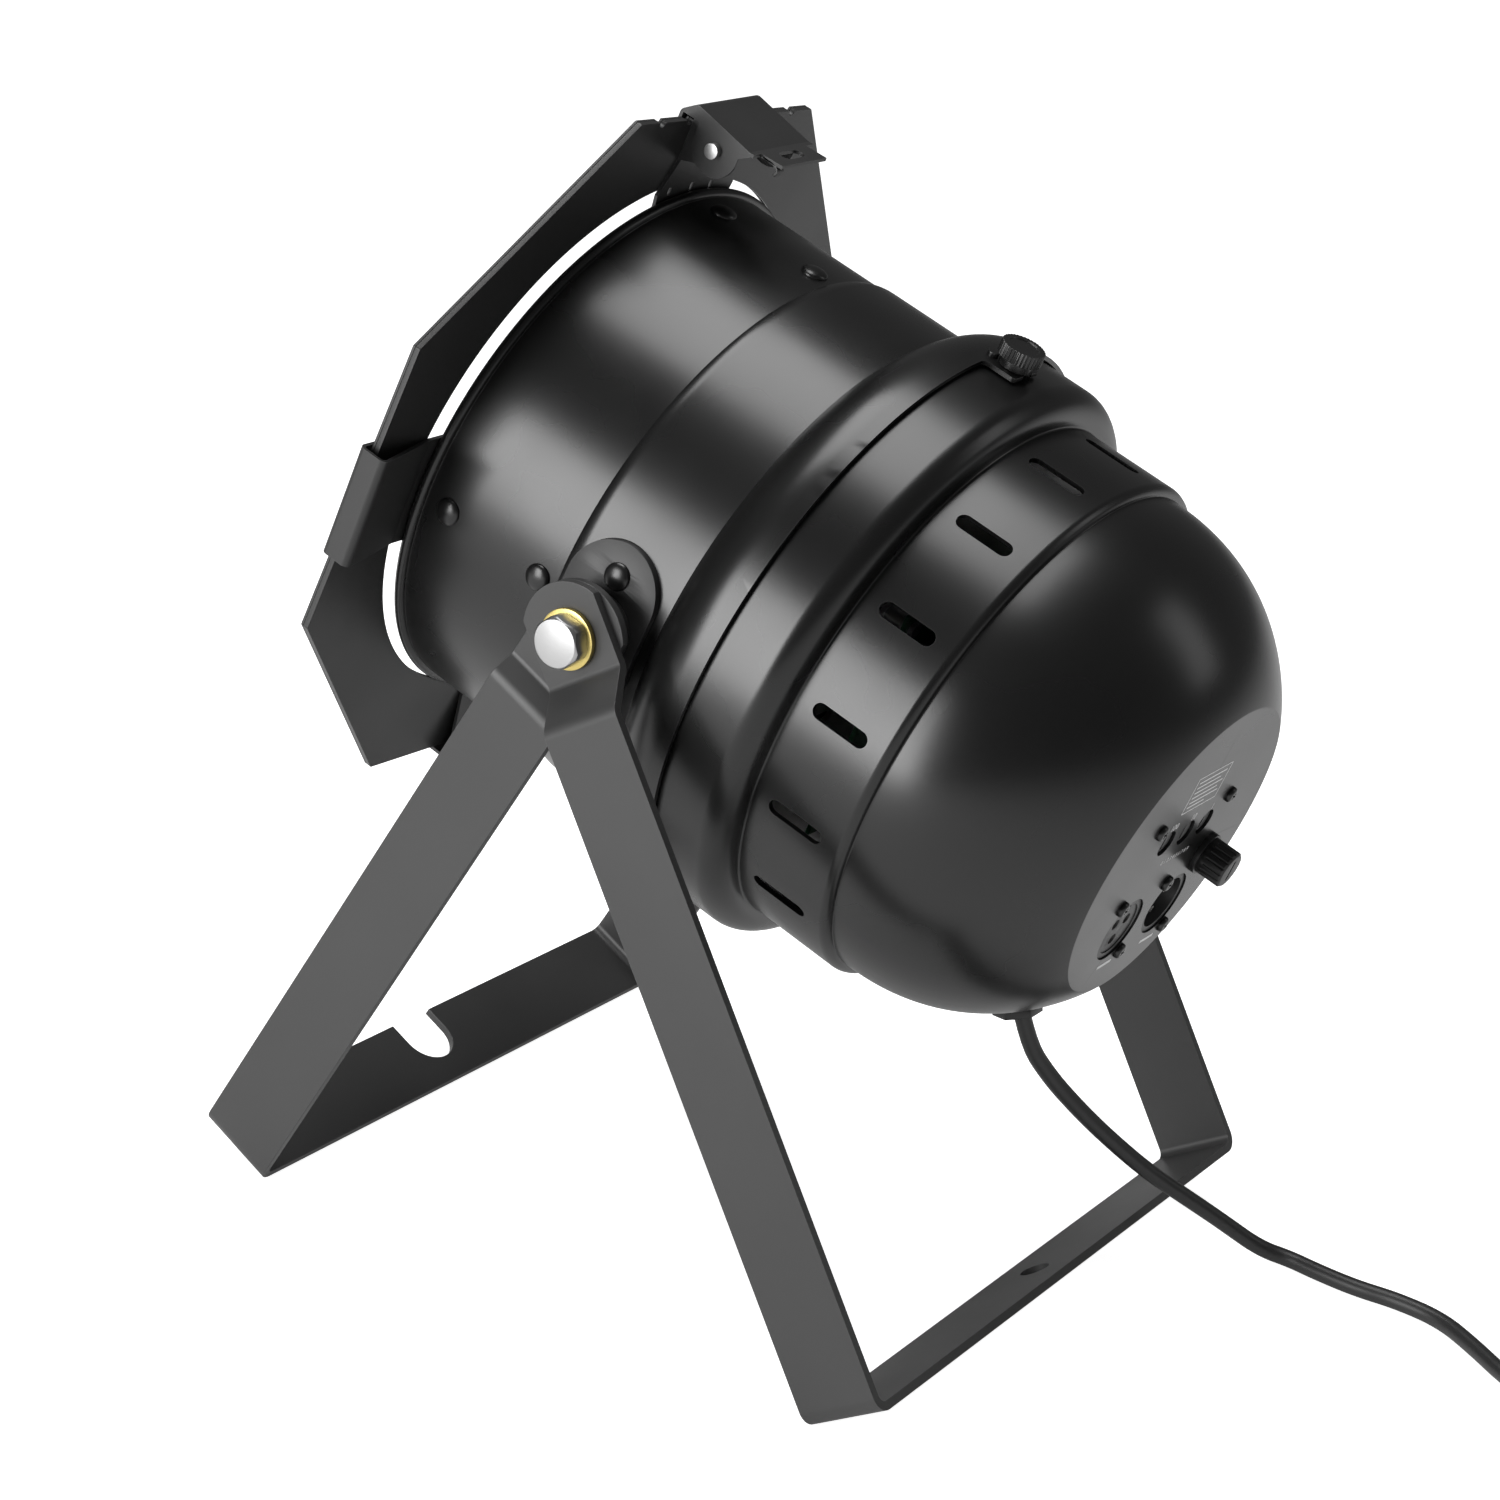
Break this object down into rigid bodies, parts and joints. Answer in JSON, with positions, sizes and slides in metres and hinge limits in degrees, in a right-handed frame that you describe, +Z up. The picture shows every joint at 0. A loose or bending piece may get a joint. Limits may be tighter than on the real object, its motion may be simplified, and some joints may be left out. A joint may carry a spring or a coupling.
{
  "type": "par can light",
  "caption": "Stage par can on two splayed folding brackets: spun barrel with octagonal gel frame, vented rear housing, data sockets, code dials, fuse and mains cord.",
  "frame": {"origin": "on the floor, in the middle of the light's width and depth without its cord", "axes": "+Z up, +Y to the rear where the sockets are, beam towards -Y and upwards, +X along the pivot axis"},
  "size_m": [0.3024, 0.5004, 0.3811],
  "materials": {
    "black_paint": "satin black powder coat",
    "black_steel": "satin black powder coat on folded sheet and strip",
    "zinc_steel": "bright zinc plating",
    "yellow_zinc": "yellow passivated zinc plating",
    "rubber_black": "black rubber",
    "cord_black": "smooth black cord sheath",
    "plastic_black": "moulded black plastic",
    "plastic_grey": "grey moulded plastic",
    "nickel": "nickel plating",
    "gold_pins": "gold flashed contacts",
    "bare_aluminium": "bare sheet aluminium",
    "circuit_board": "green solder mask",
    "white_board": "white solder mask on aluminium",
    "clear_lens": "clear moulded lens",
    "transformer_steel": "varnished laminations and tape"
  },
  "bodies": {
    "outer_bracket": {"bracket_outer": "black_steel", "mains_cord": "cord_black", "mains_cord_coil": "cord_black", "mains_plug": "plastic_black", "mains_plug_pins": "nickel"},
    "inner_bracket": {"bracket_inner": "black_steel"},
    "can": {"barrel_rivets": "black_steel", "cable_gland": "plastic_black", "cable_gland_nut": "plastic_black", "chassis_fixings": "zinc_steel", "chassis_plate": "bare_aluminium", "clip_bottom": "black_steel", "clip_left": "black_steel", "clip_right": "black_steel", "code_switch_bodies": "plastic_black", "colour_frame_front": "black_steel", "colour_frame_rear": "black_steel", "control_board": "circuit_board", "control_board_parts": "plastic_black", "control_board_posts": "zinc_steel", "engine_brackets": "bare_aluminium", "engine_screws": "zinc_steel", "front_barrel": "black_paint", "fuse_holder": "plastic_black", "fuse_link": "nickel", "heat_spreader": "bare_aluminium", "latch_base": "black_steel", "latch_bolt": "zinc_steel", "led_board": "white_board", "led_lenses": "clear_lens", "led_loom": "cord_black", "led_mask": "plastic_black", "lug_rivets": "black_steel", "mains_loom": "cord_black", "panel_nuts": "zinc_steel", "panel_screws": "zinc_steel", "pivot_bolts": "zinc_steel", "pivot_lugs": "black_steel", "pivot_spacers": "black_steel", "pivot_washers": "yellow_zinc", "pivot_weld_nuts": "zinc_steel", "rear_housing": "black_paint", "seam_gasket": "rubber_black", "supply_board": "circuit_board", "supply_components": "plastic_black", "supply_heat_sink": "bare_aluminium", "supply_transformer": "transformer_steel", "thumb_screw_nut": "zinc_steel", "xlr_female_contacts": "gold_pins", "xlr_female_insert": "plastic_black", "xlr_female_shell": "black_steel", "xlr_male_insert": "plastic_black", "xlr_male_pins": "nickel", "xlr_male_shell": "black_steel"},
    "latch": {"latch_arm": "black_steel"},
    "thumb_screw": {"thumb_screw": "plastic_black"},
    "dial_hundreds": {"code_dial_hundreds": "plastic_grey"},
    "dial_tens": {"code_dial_tens": "plastic_grey"},
    "dial_units": {"code_dial_units": "plastic_grey"},
    "fuse_cap": {"fuse_cap": "plastic_black"}
  },
  "joints": [
    {"name": "can_tilt", "type": "hinge", "parent": "outer_bracket", "child": "can", "pos_m": [0, -0.0219, 0.22931], "axis": [1, 0, 0], "range_deg": [-70, 30], "deforming": ["mains_cord"]},
    {"name": "inner_bracket_swing", "type": "hinge", "parent": "outer_bracket", "child": "inner_bracket", "pos_m": [0, -0.0219, 0.22931], "axis": [1, 0, 0], "range_deg": [0, 60]},
    {"name": "latch_swing", "type": "hinge", "parent": "can", "child": "latch", "pos_m": [0, -0.04862, 0.36765], "axis": [1, 0, 0], "range_deg": [-70, 0]},
    {"name": "thumb_screw_turn", "type": "hinge", "parent": "can", "child": "thumb_screw", "pos_m": [0, 0.06155, 0.31903], "axis": [0, 0.3256, 0.9455], "continuous": true},
    {"name": "dial_hundreds_turn", "type": "hinge", "parent": "can", "child": "dial_hundreds", "pos_m": [0.01365, 0.14002, 0.1817], "axis": [0, 0.9455, -0.3256], "continuous": true},
    {"name": "dial_tens_turn", "type": "hinge", "parent": "can", "child": "dial_tens", "pos_m": [0, 0.14002, 0.1817], "axis": [0, 0.9455, -0.3256], "continuous": true},
    {"name": "dial_units_turn", "type": "hinge", "parent": "can", "child": "dial_units", "pos_m": [-0.01365, 0.14002, 0.1817], "axis": [0, 0.9455, -0.3256], "continuous": true},
    {"name": "fuse_cap_turn", "type": "hinge", "parent": "can", "child": "fuse_cap", "pos_m": [-0.0285, 0.14047, 0.16336], "axis": [0, 0.9455, -0.3256], "range_deg": [0, 90]}
  ]
}
